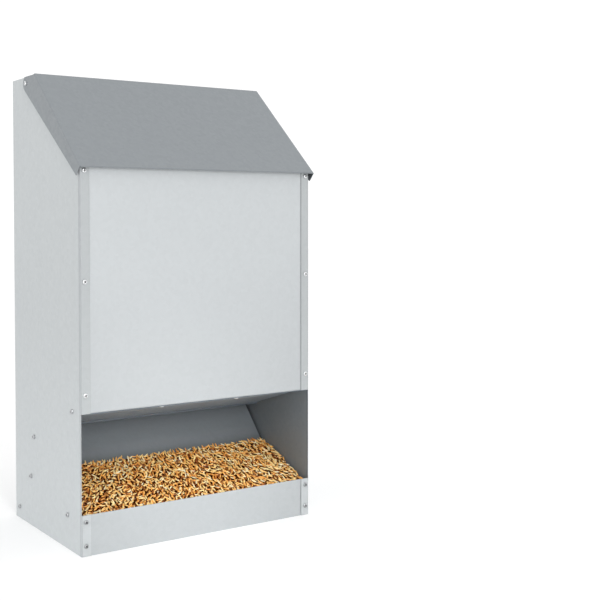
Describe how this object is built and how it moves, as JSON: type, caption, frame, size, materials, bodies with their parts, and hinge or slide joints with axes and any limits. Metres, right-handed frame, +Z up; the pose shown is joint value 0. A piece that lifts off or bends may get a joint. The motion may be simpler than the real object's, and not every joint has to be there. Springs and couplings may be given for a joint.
{
  "type": "gravity poultry feeder",
  "caption": "Folded sheet-metal gravity feeder for hens: a tall hopper with a sloping hinged lid that feeds an open trough at the bottom of its front.",
  "frame": {"origin": "centre of the body's footprint, on the floor it stands on", "axes": "+Z up, +X to the feeder's right as seen from its front, +Y from the front (the trough side) to the back"},
  "size_m": [0.4134, 0.2829, 0.7132],
  "materials": {
    "galvanised": "satin light grey zinc-coated steel sheet",
    "inner_sheet": "satin zinc-coated steel sheet, a little darker inside",
    "lid": "satin mid-grey steel sheet",
    "zinc": "bright zinc-plated steel",
    "dark_zinc": "dull zinc-plated steel",
    "nylon": "natural nylon",
    "feed": "loose dry grain"
  },
  "bodies": {
    "housing": {"left_side_panel": "galvanised", "right_side_panel": "galvanised", "back_panel": "galvanised", "front_panel": "galvanised", "base_panel": "galvanised", "trough_lip": "galvanised", "throat_plate": "inner_sheet", "feed_baffle": "inner_sheet", "trough_floor": "inner_sheet", "feed_grain": "feed", "panel_screw_left_top": "zinc", "panel_nut_left_top": "zinc", "back_screw_left_top": "zinc", "panel_screw_left_middle": "zinc", "panel_nut_left_middle": "zinc", "back_screw_left_middle": "zinc", "panel_screw_left_bottom": "zinc", "panel_nut_left_bottom": "zinc", "back_screw_left_bottom": "zinc", "lip_screw_left_upper": "dark_zinc", "lip_nut_left_upper": "zinc", "lip_screw_left_lower": "dark_zinc", "lip_nut_left_lower": "zinc", "throat_side_screw_left": "dark_zinc", "baffle_side_screw_left": "dark_zinc", "floor_rear_screw_left": "dark_zinc", "floor_front_screw_left": "dark_zinc", "base_side_screw_left": "dark_zinc", "throat_screw_left": "zinc", "throat_nut_left": "zinc", "hinge_screw_left": "zinc", "hinge_nut_left": "zinc", "hinge_spacer_left": "nylon", "panel_screw_right_top": "zinc", "panel_nut_right_top": "zinc", "back_screw_right_top": "zinc", "panel_screw_right_middle": "zinc", "panel_nut_right_middle": "zinc", "back_screw_right_middle": "zinc", "panel_screw_right_bottom": "zinc", "panel_nut_right_bottom": "zinc", "back_screw_right_bottom": "zinc", "lip_screw_right_upper": "dark_zinc", "lip_nut_right_upper": "zinc", "lip_screw_right_lower": "dark_zinc", "lip_nut_right_lower": "zinc", "throat_side_screw_right": "dark_zinc", "baffle_side_screw_right": "dark_zinc", "floor_rear_screw_right": "dark_zinc", "floor_front_screw_right": "dark_zinc", "base_side_screw_right": "dark_zinc", "throat_screw_right": "zinc", "throat_nut_right": "zinc", "hinge_screw_right": "zinc", "hinge_nut_right": "zinc", "hinge_spacer_right": "nylon"},
    "lid": {"lid": "lid"}
  },
  "joints": [
    {"name": "lid_hinge", "type": "hinge", "parent": "housing", "child": "lid", "pos_m": [0, 0.0635, 0.7012], "axis": [-1, 0, 0], "range_deg": [0, 135]}
  ]
}
